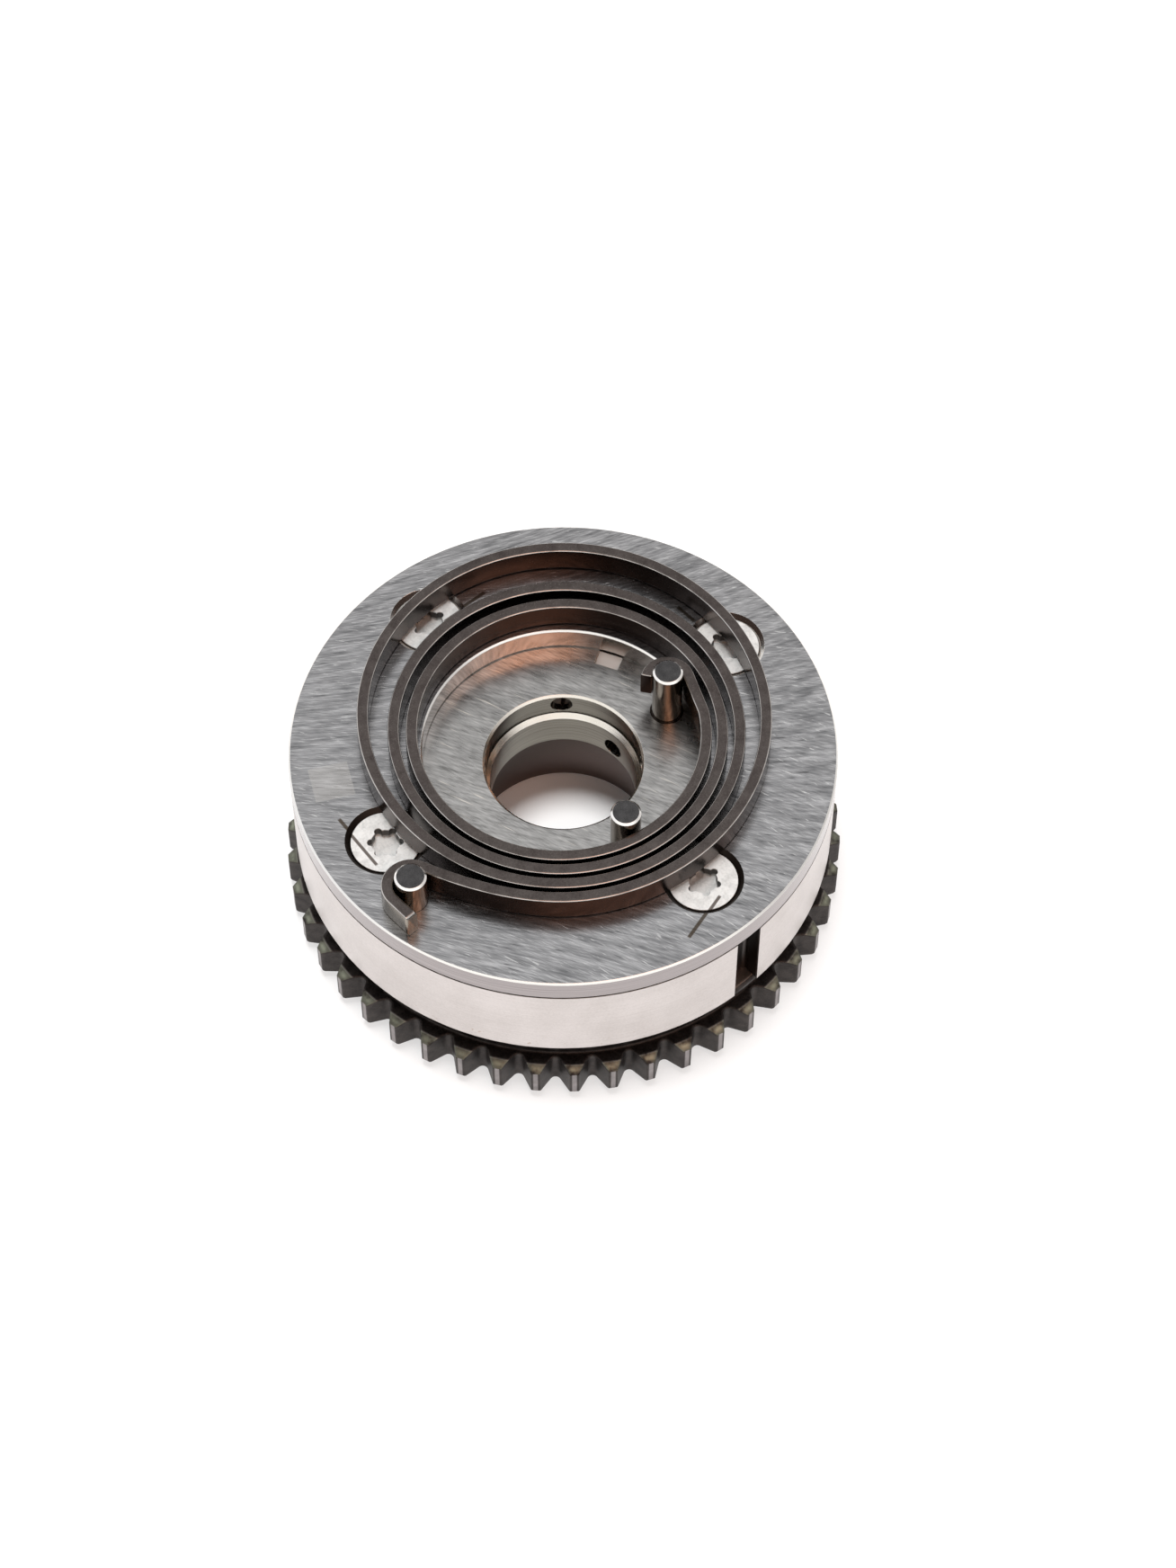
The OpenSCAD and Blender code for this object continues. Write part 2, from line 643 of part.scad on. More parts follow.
// A round wire that follows a helix about the axis of the lock pin
module helix_wire(r, wire_r, z0, z1, turns) {
    sides = 8;
    steps = 14 * turns;
    rise = (z1 - z0) / (2 * PI * r * turns);
    points = [for (i = [0 : steps], k = [0 : sides - 1])
        let (a = 360 * turns * i / steps, b = 360 * k / sides, lean = atan(rise))
        let (out = wire_r * cos(b), up = wire_r * sin(b))
        [(r + out) * cos(a) + up * sin(lean) * sin(a),
         (r + out) * sin(a) - up * sin(lean) * cos(a),
         z0 + (z1 - z0) * i / steps + up * cos(lean)]];
    sleeve = [for (i = [0 : steps - 1], k = [0 : sides - 1])
        let (n = (k + 1) % sides)
        [i * sides + k, (i + 1) * sides + k, (i + 1) * sides + n, i * sides + n]];
    first = [for (k = [0 : sides - 1]) k];
    final = [for (k = [sides - 1 : -1 : 0]) steps * sides + k];
    polyhedron(points, concat(sleeve, [first, final]));
}

module lock_spring() {
    wire_r = lock_wire_d / 2;
    color("#8d8f92") at_polar(lock_r, lock_angle)
        helix_wire(lock_spring_r, wire_r, lock_well_z + wire_r + spring_gap,
            lock_cap_z - wire_r - spring_gap, lock_spring_turns);
}

// Pressed cap that backs the lock spring and lets the bore breathe into the vent groove
module lock_cap() {
    cap_r = lock_bore_r - seat_gap;
    notch_w = vent_w / 2;
    color("#8d8f92") at_polar(lock_r, lock_angle) difference() {
        translate([0, 0, lock_cap_z]) cylinder(r = cap_r, h = lock_cap_t);
        translate([-cap_r - over, -notch_w / 2, lock_cap_z - over])
            cube([over + cap_r / 2, notch_w, lock_cap_t + 2 * over]);
    }
}

// A seal strip about +X between two radii, rounded on the side that runs on its track
module seal_strip(back_r, track_r, outwards) {
    r0 = min(back_r, track_r) - (outwards ? 0 : over);
    r1 = max(back_r, track_r) + (outwards ? over : 0);
    translate([0, 0, rotor_z + side_gap]) linear_extrude(seal_len) {
        if (outwards) {
            intersection() {
                circle(track_r);
                translate([r0, -seal_w / 2]) square([r1 - r0, seal_w]);
            }
        } else {
            difference() {
                translate([r0, -seal_w / 2]) square([r1 - r0, seal_w]);
                circle(track_r);
            }
        }
    }
}

// A bowed leaf spring that lies in a slot between two radii
module leaf_spring(floor_r) {
    bow_r = (leaf_len * leaf_len / 4 + leaf_bow * leaf_bow) / (2 * leaf_bow);
    mid_z = rotor_z + rotor_h / 2;
    leaf_w = seal_w - 2 * seal_gap;
    translate([floor_r, leaf_w / 2, mid_z]) rotate([90, 0, 0]) linear_extrude(leaf_w)
        intersection() {
            translate([0, -leaf_len / 2]) square([leaf_bow + leaf_t, leaf_len]);
            translate([leaf_bow - bow_r, 0]) difference() {
                circle(bow_r + leaf_t);
                circle(bow_r);
            }
        }
}

// Nylon strip in the tip of a vane
module vane_seal(i) {
    color("#39424a") rotate(vane_angle(i))
        seal_strip(chamber_r - seal_gap - seal_h, chamber_r - seal_gap, true);
}

module vane_seal_spring(i) {
    color("#8d8f92") rotate(vane_angle(i)) leaf_spring(vane_tip_r - seal_slot_depth);
}

// Nylon strip in the inner face of a web
module web_seal(i) {
    color("#39424a") rotate(screw_angles[i])
        seal_strip(hub_r + seal_gap + seal_h, hub_r + seal_gap, false);
}

module web_seal_spring(i) {
    color("#8d8f92") rotate(screw_angles[i])
        leaf_spring(web_in_r + seal_slot_depth - leaf_room);
}

sprocket();
lock_bush();
housing();
front_cover();
cover_screws();
anchor_pin();
rotor();
hook_pin();
guide_pin();
bias_spring();
lock_pin();
lock_spring();
lock_cap();
for (i = [0 : vane_count - 1]) {
    vane_seal(i);
    vane_seal_spring(i);
    web_seal(i);
    web_seal_spring(i);
}
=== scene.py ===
# Looks of a hydraulic cam phaser, in the order in which it is put together.
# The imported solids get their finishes. Two springs are made anew so that they can change shape: the coil
# on the lock pin and the flat spiral of rolled strip. Sizes are in millimetres where no comment says metres.
import math

import bmesh
import bpy
from mathutils import Matrix, Vector
from mathutils.kdtree import KDTree
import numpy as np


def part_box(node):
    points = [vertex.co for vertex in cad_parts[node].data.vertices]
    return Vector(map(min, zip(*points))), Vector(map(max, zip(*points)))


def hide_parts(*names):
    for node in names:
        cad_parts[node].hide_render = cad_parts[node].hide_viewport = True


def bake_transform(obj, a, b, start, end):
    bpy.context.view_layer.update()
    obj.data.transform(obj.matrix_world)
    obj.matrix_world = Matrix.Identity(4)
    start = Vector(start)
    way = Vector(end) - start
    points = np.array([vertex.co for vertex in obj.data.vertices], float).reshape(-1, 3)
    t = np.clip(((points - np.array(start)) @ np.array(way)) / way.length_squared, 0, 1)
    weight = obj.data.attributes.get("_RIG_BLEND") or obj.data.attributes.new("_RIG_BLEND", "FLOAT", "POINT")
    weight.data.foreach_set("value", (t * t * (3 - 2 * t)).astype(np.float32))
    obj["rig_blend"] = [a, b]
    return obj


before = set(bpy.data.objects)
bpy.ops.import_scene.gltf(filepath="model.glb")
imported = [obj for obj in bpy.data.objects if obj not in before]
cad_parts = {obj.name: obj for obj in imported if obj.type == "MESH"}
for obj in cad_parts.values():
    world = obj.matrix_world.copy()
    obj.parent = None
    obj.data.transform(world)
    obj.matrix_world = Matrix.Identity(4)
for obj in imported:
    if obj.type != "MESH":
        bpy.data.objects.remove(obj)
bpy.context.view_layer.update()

# Sprocket and rear plate: one piece of pressed and sintered steel, steam treated to a dark brown-grey.
# The chain teeth are sized in the press and their tips chamfered, so their corners are soft, and the
# plate carries the housing on its front face.


class Field:
    """A shader socket: Python's operators add Math nodes, and node() adds any other node."""

    def __init__(self, tree, socket=None):
        self.tree = tree
        self.socket = socket

    def node(self, kind, settings={}, inputs={}, output=0):
        """Adds a node: first its settings, then the values or links of its sockets."""
        made = self.tree.nodes.new(kind)
        for name, value in settings.items():
            if name == "stops":
                stops = made.color_ramp.elements
                stops[0].position = value[0][0]
                stops[1].position = value[-1][0]
                for position, colour in value[1:-1]:
                    stops.new(position)
                for stop, (position, colour) in zip(stops, value):
                    stop.color = (*colour, 1)
            else:
                setattr(made, name, value)
        for key, value in inputs.items():
            socket = made.inputs[key]
            if isinstance(value, Field):
                self.tree.links.new(value.socket, socket)
            elif socket.type == "RGBA":
                socket.default_value = (*value, 1)
            else:
                socket.default_value = value
        return Field(self.tree, made.outputs[output])

    def math(self, operation, first, second):
        return self.node("ShaderNodeMath", {"operation": operation}, {0: first, 1: second})

    def __add__(self, other):
        return self.math("ADD", self, other)

    def __radd__(self, other):
        return self.math("ADD", other, self)

    def __sub__(self, other):
        return self.math("SUBTRACT", self, other)

    def __rsub__(self, other):
        return self.math("SUBTRACT", other, self)

    def __mul__(self, other):
        return self.math("MULTIPLY", self, other)

    def __rmul__(self, other):
        return self.math("MULTIPLY", other, self)

    def __abs__(self):
        return self.math("ABSOLUTE", self, 0)


def start_finish(name, metallic=1.0, **sockets):
    """A new material with its constant shader values, and the place on the piece in millimetres."""
    material = bpy.data.materials.new(name)
    material.use_nodes = True
    shader = material.node_tree.nodes["Principled BSDF"]
    shader.inputs["Metallic"].default_value = metallic
    for socket, value in sockets.items():
        shader.inputs[socket.replace("_", " ")].default_value = value
    metres = Field(material.node_tree).node("ShaderNodeTexCoord", output="Object")
    place = metres.node("ShaderNodeVectorMath", {"operation": "SCALE"}, {0: metres, "Scale": 1000})
    return material, place


def end_finish(material, colour, roughness, height, depth, soft=0.0):
    """Links colour, roughness and a relief to the material's shader, with its corners rounded a little.
    The relief's depth and the corners' radius are in millimetres."""
    shader = material.node_tree.nodes["Principled BSDF"]
    inputs = {"Strength": 1, "Distance": depth / 1000, "Height": height}
    if soft:
        inputs["Normal"] = height.node("ShaderNodeBevel", {"samples": 6}, {"Radius": soft / 1000})
    relief = height.node("ShaderNodeBump", {}, inputs)
    for socket, value in {"Base Color": colour, "Roughness": roughness, "Normal": relief}.items():
        material.node_tree.links.new(value.socket, shader.inputs[socket])


def put_finish(material, *names):
    """Gives the finish to these CAD nodes."""
    for name in names:
        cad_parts[name].material_slots[0].material = material


def split(vector):
    """The three components of a vector."""
    return [vector.node("ShaderNodeSeparateXYZ", {}, {0: vector}, axis) for axis in "XYZ"]


def axis_distance(place):
    """Distance from the axis of rotation."""
    flat = place.node("ShaderNodeVectorMath", {"operation": "MULTIPLY"}, {0: place, 1: (1, 1, 0)})
    return flat.node("ShaderNodeVectorMath", {"operation": "LENGTH"}, {0: flat}, "Value")


def facing_up(place):
    """Upward component of the surface's direction, on the piece itself."""
    return split(place.node("ShaderNodeTexCoord", output="Normal"))[2]


def step(value, low, high):
    """Smooth step from 0 to 1 as the value goes from low to high, which may be the smaller one."""
    limits = {"Value": value, "From Min": low, "From Max": high}
    return value.node("ShaderNodeMapRange", {"interpolation_type": "SMOOTHSTEP"}, limits)


def band(value, low, high, soft):
    """Mask of the values from low to high, with soft ends."""
    return step(value, low - soft, low + soft) * step(value, high + soft, high - soft)


def cloud(place, size, seed, detail=2.0):
    """Even noise with grains of that size in millimetres."""
    inputs = {"Vector": place, "W": seed, "Scale": 1 / size, "Detail": detail}
    return place.node("ShaderNodeTexNoise", {"noise_dimensions": "4D"}, inputs)


def ramp(value, *stops):
    """Colour read from stops of (value, colour)."""
    return value.node("ShaderNodeValToRGB", {"stops": stops}, {0: value})


def tint(share, base, over):
    """Base colour with the share of another laid over it."""
    return share.node("ShaderNodeMix", {"data_type": "RGBA"}, {0: share, 6: base, 7: over}, 2)


sinter_dark = (0.024, 0.020, 0.019)
sinter_light = (0.064, 0.055, 0.051)
bevel_highlight_olive = (0.145, 0.145, 0.115)
crest_highlight_olive = (0.36, 0.38, 0.29)
ridge_highlight_tone = (0.42, 0.40, 0.36)
tip_highlight = (0.34, 0.315, 0.315)
ledge_brown = (0.22, 0.185, 0.16)
tooth_count = 46
first_tooth = -88.25
tip_radius = 46.97
bevel_inner = 45.47
bevel_facing = (0.84, 0.94)
ledge_height = 13.2
# Reach of the painted crest and tip highlights to each side of a tooth's middle, in shares of the tooth
# pitch.
crest_highlight_reach = (0.2, 0.03)
tip_streak_reach = (0.075, 0.045)

sinter, place = start_finish("sintered_steel")
grain = cloud(place, 0.3, 1)
patches = cloud(place, 1.7, 2, 3)
up = facing_up(place)
x, y, height = split(place)
radius = axis_distance(place)
skin = ramp(0.4 * grain + 0.6 * patches, (0.36, sinter_dark), (0.64, sinter_light))
# Painted highlight: the upward-tilted bevels of the teeth are made olive, in patches.
bevel = band(up, *bevel_facing, 0.02) * step(radius, bevel_inner - 0.5, bevel_inner)
skin = tint(bevel * step(patches, 0.3, 0.6), skin, bevel_highlight_olive)
# Painted highlight along the inner edge of the bevels, in patches.
ridge_highlight = step(up, 0.7, 0.8) * band(radius, bevel_inner - 0.16, bevel_inner + 0.12, 0.08)
skin = tint(0.25 * ridge_highlight * step(patches, 0.3, 0.5), skin, ridge_highlight_tone)
tooth = (x.math("ARCTAN2", y, x) - math.radians(first_tooth)) * (tooth_count / math.tau)
aside = abs(tooth - tooth.math("ROUND", tooth, 0))
# Painted highlight in the middle of each tooth's bevel, which makes the crowns look domed.
crest_highlight = step(aside, *crest_highlight_reach) * band(radius, bevel_inner + 0.5, tip_radius - 0.5, 0.4)
skin = tint(0.75 * bevel * crest_highlight * step(patches, 0.2, 0.6), skin, crest_highlight_olive)
# Painted highlight: a light upright streak down the middle of each tip land.
tip_streak_highlight = step(aside, *tip_streak_reach) * step(radius, tip_radius - 0.1, tip_radius - 0.02)
skin = tint(tip_streak_highlight * step(up, 0.4, 0.1) * (0.3 + 0.9 * patches), skin, tip_highlight)
ledge = step(height, ledge_height, ledge_height + 0.15) * step(up, 0.8, 0.95)
end_finish(sinter, tint(ledge, skin, ledge_brown), 0.36 + 0.2 * grain, grain, 0.03, soft=0.7)
put_finish(sinter, "sprocket")

# Lock bush: a hardened steel ring pressed into the rear plate, for the tapered nose of the lock pin.
# It is ground in its bore and left as turned elsewhere.
bush_dark = (0.17, 0.17, 0.175)
bush_light = (0.33, 0.33, 0.34)


def stretched(place, size, seed, detail=2.0, turn=0.0):
    """Noise with grains of that size along X, Y and Z in millimetres, turned about the axis."""
    inputs = {"Vector": place, "Rotation": (0, 0, turn), "Scale": size}
    return cloud(place.node("ShaderNodeMapping", {"vector_type": "TEXTURE"}, inputs), 1, seed, detail)


hardened, place = start_finish("hardened_steel_bush")
lines = stretched(place, (9, 9, 0.12), 3)
end_finish(hardened, ramp(lines, (0.3, bush_dark), (0.7, bush_light)), 0.2 + 0.15 * lines, lines, 0.004)
put_finish(hardened, "lock_bush")

# Housing: an aluminium ring turned on its outside to a satin, nearly white skin. Its four webs part the
# oil chambers inside, and a slot in its side is for the tool that holds it while the screws go in.
satin_light = (0.645, 0.605, 0.59)
satin_dark = (0.515, 0.478, 0.46)
stain_brown = (0.33, 0.21, 0.13)
inside_shade_brown = (0.036, 0.030, 0.028)
seam_dark = (0.10, 0.08, 0.07)
outside_radius = 45.2
stain_top = 17.5
stain_fade = 3
seam_height = 29.5

aluminium, place = start_finish("machined_aluminium")
lines = stretched(place, (24, 24, 0.16), 4, 3)
haze = cloud(place, 9, 5)
height = split(place)[2]
grain = cloud(place, 0.4, 26, 3)
skin = ramp(0.3 * lines + 0.4 * haze + 0.3 * grain, (0.36, satin_dark), (0.6, satin_light))
drops = step(cloud(place, 0.7, 6, 1), 0.68, 0.76) * step(height, stain_top, stain_top - stain_fade)
skin = tint(0.5 * drops, skin, stain_brown)
# Painted shade: the faces inside the turned skin, in the slot and the chambers, are made nearly black.
inside = step(axis_distance(place), outside_radius - 0.1, outside_radius - 0.5)
skin = tint(inside * (0.8 + 0.3 * haze), skin, inside_shade_brown)
skin = tint(0.85 * step(height, seam_height - 0.08, seam_height + 0.04), skin, seam_dark)
end_finish(aluminium, skin, 0.24 + 0.16 * lines, lines, 0.004, soft=0.12)
put_finish(aluminium, "housing")

# Rotor: a sintered steel hub with four vanes, ground on both faces so that it runs against the plates.
# The stepped bore for the oil valve is turned, and the sides of the vanes keep the skin of the press.
ground_dark = (0.22, 0.218, 0.212)
ground_light = (0.56, 0.556, 0.545)
bore_dark = (0.135, 0.122, 0.10)
bore_light = (0.225, 0.208, 0.175)
nose_shade_brown = (0.045, 0.032, 0.027)
nose_lit_pale = (0.14, 0.105, 0.095)
seat_brown = (0.05, 0.04, 0.034)
cream_scratch_and_highlight = (0.82, 0.78, 0.71)
vent_highlight_pale = (0.66, 0.645, 0.62)
face_turn = math.radians(-17)
nose_height = 17.9
nose_shade_slant = 0.3
nose_shade_fade = (5, 17)
pin_seats = ((17.32, 10), (10, -17.32))
seat_radius = 2.5
nose_radius = 12.6
mouth_radius = 14


def strokes(place, length, width, turn, seed):
    """Scratches of that length and width in millimetres, at an angle to the X axis."""
    return stretched(place, (length, width, 1), seed, 3, turn)


def distance_from(place, centre):
    """Distance from an upright line through a centre."""
    off = place.node("ShaderNodeVectorMath", {"operation": "SUBTRACT"}, {0: place, 1: (*centre, 0)})
    return axis_distance(off)


rotor_steel, place = start_finish("ground_sinter")
long_strokes = strokes(place, 5, 0.34, face_turn, 7)
short_strokes = strokes(place, 2.4, 0.2, face_turn - 0.3, 8)
grind = 0.55 * long_strokes + 0.45 * short_strokes
mottle = cloud(place, 2.2, 24, 4)
turned = stretched(place, (15, 15, 0.3), 9)
up = facing_up(place)
flat = step(up, 0.975, 0.99)
radius = axis_distance(place)
x, _, height = split(place)
face_steel = ramp(0.75 * grind + 0.25 * mottle, (0.38, ground_dark), (0.62, ground_light))
scratches = step(strokes(place, 7, 0.26, face_turn - 0.2, 28), 0.64, 0.72)
face_steel = tint(0.8 * scratches, face_steel, cream_scratch_and_highlight)
for seat in pin_seats:
    rim = band(distance_from(place, seat), seat_radius, seat_radius + 0.3, 0.1)
    face_steel = tint(rim, face_steel, seat_brown)
bore_steel = ramp(turned, (0.3, bore_dark), (0.7, bore_light))
# Painted shade: the wide bore's wall is dark brown high up and paler lower down, and darker towards the
# left.
nose_light_share = step(height - nose_shade_slant * x, nose_height - nose_shade_fade[0], nose_height - nose_shade_fade[1])
nose_shaded_steel = tint(nose_light_share, nose_shade_brown, nose_lit_pale)
nose = step(height, nose_height, nose_height - 0.1) * step(radius, nose_radius, nose_radius + 0.3)
bore_steel = tint(nose, bore_steel, nose_shaded_steel)
# Painted highlight: the sloped faces of the bore, its chamfers and step, are made pale cream.
slope = step(up, 0.4, 0.6)
bore_steel = tint(slope, bore_steel, cream_scratch_and_highlight)
# Painted highlight: the sloped floor of the vent groove beyond the bore's mouth is made pale, and rougher.
groove_highlight = slope * (1 - flat) * step(radius, mouth_radius, mouth_radius + 0.5)
bore_steel = tint(groove_highlight, bore_steel, vent_highlight_pale)
relief = flat * (0.5 * grind + 0.5 * mottle) + (1 - flat) * turned
roughness = flat * (0.2 + 0.18 * mottle) + (1 - flat) * (0.12 + 0.16 * turned) + 0.4 * groove_highlight
end_finish(rotor_steel, tint(flat, bore_steel, face_steel), roughness, relief, 0.008, soft=0.12)
put_finish(rotor_steel, "rotor")

# Seals: strips of dark nylon in the tips of the vanes and in the inner faces of the webs, each pressed
# on its track by a bowed leaf of spring steel in the bottom of its slot.
nylon_dark = (0.018, 0.018, 0.020)
nylon_light = (0.045, 0.044, 0.046)
leaf_dark = (0.19, 0.19, 0.20)
leaf_light = (0.36, 0.36, 0.37)
seal_count = 4

nylon, place = start_finish("seal_nylon", metallic=0.0)
grain = cloud(place, 0.2, 10)
end_finish(nylon, ramp(grain, (0.3, nylon_dark), (0.7, nylon_light)), 0.42 + 0.2 * grain, grain, 0.01)
leaf_steel, place = start_finish("leaf_steel")
rolled = stretched(place, (0.15, 0.15, 1), 11, 3)
skin = ramp(rolled, (0.3, leaf_dark), (0.7, leaf_light))
end_finish(leaf_steel, skin, 0.25 + 0.15 * rolled, rolled, 0.002)
for number in range(1, seal_count + 1):
    put_finish(nylon, f"vane_seal_{number}", f"web_seal_{number}")
    put_finish(leaf_steel, f"vane_seal_spring_{number}", f"web_seal_spring_{number}")

# Lock pin: a hardened and ground pin in one vane, pushed down to the bush in the rear plate by a coil
# spring of bright wire. The spring bears on a cap pressed into the vane, and shortens as the pin lifts.
wire_dark = (0.23, 0.22, 0.21)
wire_light = (0.46, 0.45, 0.43)
# The wire's half thickness is in metres, as the frame's boxes are.
wire_half = 0.0003
wire_sides = 12
wire_turns = 6
turn_steps = 32


def make_piece(name, shape):
    """A new piece at the origin, with the mesh that a bmesh holds."""
    mesh = bpy.data.meshes.new(name)
    shape.to_mesh(mesh)
    shape.free()
    piece = bpy.data.objects.new(name, mesh)
    bpy.context.scene.collection.objects.link(piece)
    return piece


put_finish(hardened, "lock_pin")
wire_low, wire_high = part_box("lock_spring")
wire_foot = wire_low.z + wire_half
wire_head = wire_high.z - wire_half
wire_steps = wire_turns * turn_steps
winding_radius = (wire_high.x - wire_low.x) / 2 - wire_half
quarter_turn = Matrix.Rotation(math.pi / 2, 3, "X")
winding = bmesh.new()
bmesh.ops.create_circle(winding, cap_ends=True, segments=wire_sides, radius=wire_half)
bmesh.ops.rotate(winding, cent=(0, 0, 0), matrix=quarter_turn, verts=winding.verts)
bmesh.ops.translate(winding, vec=(winding_radius, 0, 0), verts=winding.verts)
bmesh.ops.spin(winding, geom=winding.verts[:] + winding.edges[:] + winding.faces[:], cent=(0, 0, 0),
               axis=(0, 0, 1), dvec=(0, 0, (wire_head - wire_foot) / wire_steps),
               angle=wire_turns * math.tau, steps=wire_steps)
wire_axis = (wire_low + wire_high) / 2
bmesh.ops.translate(winding, vec=(wire_axis.x, wire_axis.y, wire_foot), verts=winding.verts)
bmesh.ops.recalc_face_normals(winding, faces=winding.faces)
for face in winding.faces:
    face.smooth = len(face.verts) == 4
coil = make_piece("lock_spring_coil", winding)

wire, place = start_finish("spring_wire")
drawn = cloud(place, 0.25, 12, 3)
end_finish(wire, ramp(drawn, (0.3, wire_dark), (0.7, wire_light)), 0.22 + 0.2 * drawn, drawn, 0.004)
coil.data.materials.append(wire)
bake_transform(coil, "rotor_body", "lock_pin_body", start=(*wire_axis.xy, wire_head),
         end=(*wire_axis.xy, wire_foot))
for vertex, share in zip(coil.data.vertices, coil.data.attributes["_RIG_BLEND"].data):
    share.value = min(max((wire_head - vertex.co.z) / (wire_head - wire_foot), 0), 1)
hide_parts("lock_spring")

# Front cover: a steel plate, ground flat on its top in short overlapping strokes that fan out from the
# right, with a turned rim. The spring lies on it, and paint lines run across it onto the screw heads.
cover_dark = (0.20, 0.202, 0.207)
cover_mid = (0.355, 0.356, 0.361)
cover_light = (0.56, 0.561, 0.567)
scratch_white = (0.86, 0.86, 0.85)
scratch_grey = (0.11, 0.11, 0.113)
rim_dark = (0.28, 0.253, 0.253)
rim_light = (0.40, 0.368, 0.368)
bore_bright = (0.68, 0.63, 0.60)
edge_highlight_white = (0.86, 0.84, 0.81)
countersink_shade = (0.035, 0.028, 0.024)
patch_pale = (0.62, 0.60, 0.57)
cover_paint = (0.06, 0.04, 0.02)
stroke_fan = 0.0085
paint_half = 0.3
paint_ends = (((-36.5, -13.8), (-30.2, -22.3)), ((25.0, -28.6), (19.75, -36.7)),
              ((-19.8, 25.8), (-13.1, 31.3)), ((19.5, 28.0), (22.3, 25.0)))
patch_centre = (-37.9, -6.6)
patch_turn = math.radians(14)
patch_half = 3.3
cone_radii = (25, 42)
cone_shade_back = 16
cone_shade_fade = 8
joint_height = 29.85


def paint_lines(place, half):
    """Mask of the thin paint lines of that half width, each from one end to the other."""
    x, y, _ = split(place)
    mask = 0 * x
    for (x0, y0), (x1, y1) in paint_ends:
        length = math.hypot(x1 - x0, y1 - y0)
        along_x, along_y = (x1 - x0) / length, (y1 - y0) / length
        along = (x - x0) * along_x + (y - y0) * along_y
        off = abs((y - y0) * along_x - (x - x0) * along_y)
        ends = step(along, -0.2, 0.2) * step(along, length + 0.2, length - 0.2)
        mask = mask + ends * step(off, half + 0.08, half - 0.08)
    return mask


cover_steel, place = start_finish("ground_steel")
x, y, z = split(place)
fanned = place.node("ShaderNodeCombineXYZ", {}, {"X": x, "Y": y * (1 - stroke_fan * x), "Z": z})
coarse = strokes(fanned, 4.2, 0.36, 0.05, 13)
fine = strokes(fanned, 2.2, 0.2, -0.18, 14)
broad = strokes(fanned, 9, 1.4, 0.1, 15)
grind = 0.35 * coarse + 0.3 * fine + 0.35 * broad
face_steel = ramp(grind, (0.40, cover_dark), (0.5, cover_mid), (0.60, cover_light))
face_steel = tint(0.45 * step(fine, 0.62, 0.70), face_steel, scratch_white)
face_steel = tint(0.8 * step(coarse, 0.37, 0.30), face_steel, scratch_grey)
nicks = step(strokes(fanned, 3.2, 0.42, -0.3, 27), 0.63, 0.68)
face_steel = tint(0.6 * nicks, face_steel, scratch_white)
square = place.node("ShaderNodeMapping", {"vector_type": "TEXTURE"},
                    {"Vector": place, "Location": (*patch_centre, 0), "Rotation": (0, 0, patch_turn)})
reach_x, reach_y = (abs(way) for way in split(square)[:2])
reach = reach_x.math("MAXIMUM", reach_x, reach_y)
patch = step(reach, patch_half + 0.1, patch_half - 0.1)
face_steel = tint(0.35 * patch, face_steel, patch_pale)
face_steel = tint(0.85 * paint_lines(place, paint_half), face_steel, cover_paint)
turned = stretched(place, (30, 30, 0.12), 17)
up = facing_up(place)
radius = axis_distance(place)
slope = band(up, 0.5, 0.86, 0.08)
# Painted shade: the countersinks' cones are made dark brown towards the front, fading out towards the back.
shaded_cone = slope * band(radius, *cone_radii, 0.2) * step(y, cone_shade_back, cone_shade_back - cone_shade_fade)
rim_steel = ramp(turned, (0.3, rim_dark), (0.7, rim_light))
rim_steel = tint(step(z, joint_height + 0.1, joint_height - 0.1), rim_steel, seam_dark)
rim_steel = tint(step(radius, cone_radii[0], cone_radii[0] - 0.2), rim_steel, bore_bright)
# Painted highlight: the chamfers of the rim and the bore are made nearly white.
rim_steel = tint(slope, rim_steel, edge_highlight_white)
rim_steel = tint(shaded_cone, rim_steel, countersink_shade)
flat = step(up, 0.86, 0.95)
relief = flat * (grind + 0.5 * nicks) + (1 - flat) * turned
roughness = flat * (0.16 + 0.18 * grind) + (1 - flat) * (0.08 + 0.14 * turned)
roughness = roughness + 0.03 * patch + 0.3 * shaded_cone
end_finish(cover_steel, tint(flat, rim_steel, face_steel), roughness, relief, 0.01, soft=0.12)
put_finish(cover_steel, "front_cover")

# Cover screws: four countersunk steel screws with a white zinc plating and six-lobed sockets, drawn up
# through cover and housing into the rear plate. The paint lines show that they have been tightened, and
# the cap over the lock spring is plated alike.
zinc_dark = (0.44, 0.446, 0.436)
zinc_light = (0.62, 0.626, 0.614)
socket_shade = (0.03, 0.026, 0.022)
head_paint = (0.045, 0.03, 0.022)
head_paint_half = 0.27
head_top = 33.42

zinc, place = start_finish("zinc_steel", metallic=0.25)
dabs = cloud(place, 1.6, 18, 3)
grain = cloud(place, 0.35, 19)
height = split(place)[2]
sunk = step(height, head_top - 0.1, head_top - 0.3)
upright = step(facing_up(place), 0.6, 0.3)
plating = ramp(0.6 * dabs + 0.4 * grain, (0.36, zinc_dark), (0.58, zinc_light))
# Painted shade: the upright walls deep in the sockets are made nearly black.
plating = tint(sunk * upright * step(height, head_top - 2.2, head_top - 1.4), plating, socket_shade)
plating = tint(0.9 * paint_lines(place, head_paint_half) * (1 - sunk), plating, head_paint)
end_finish(zinc, plating, 0.34 + 0.2 * dabs, grain + 5 * sunk * dabs, 0.02, soft=0.15)
put_finish(zinc, "cover_screws", "lock_cap")

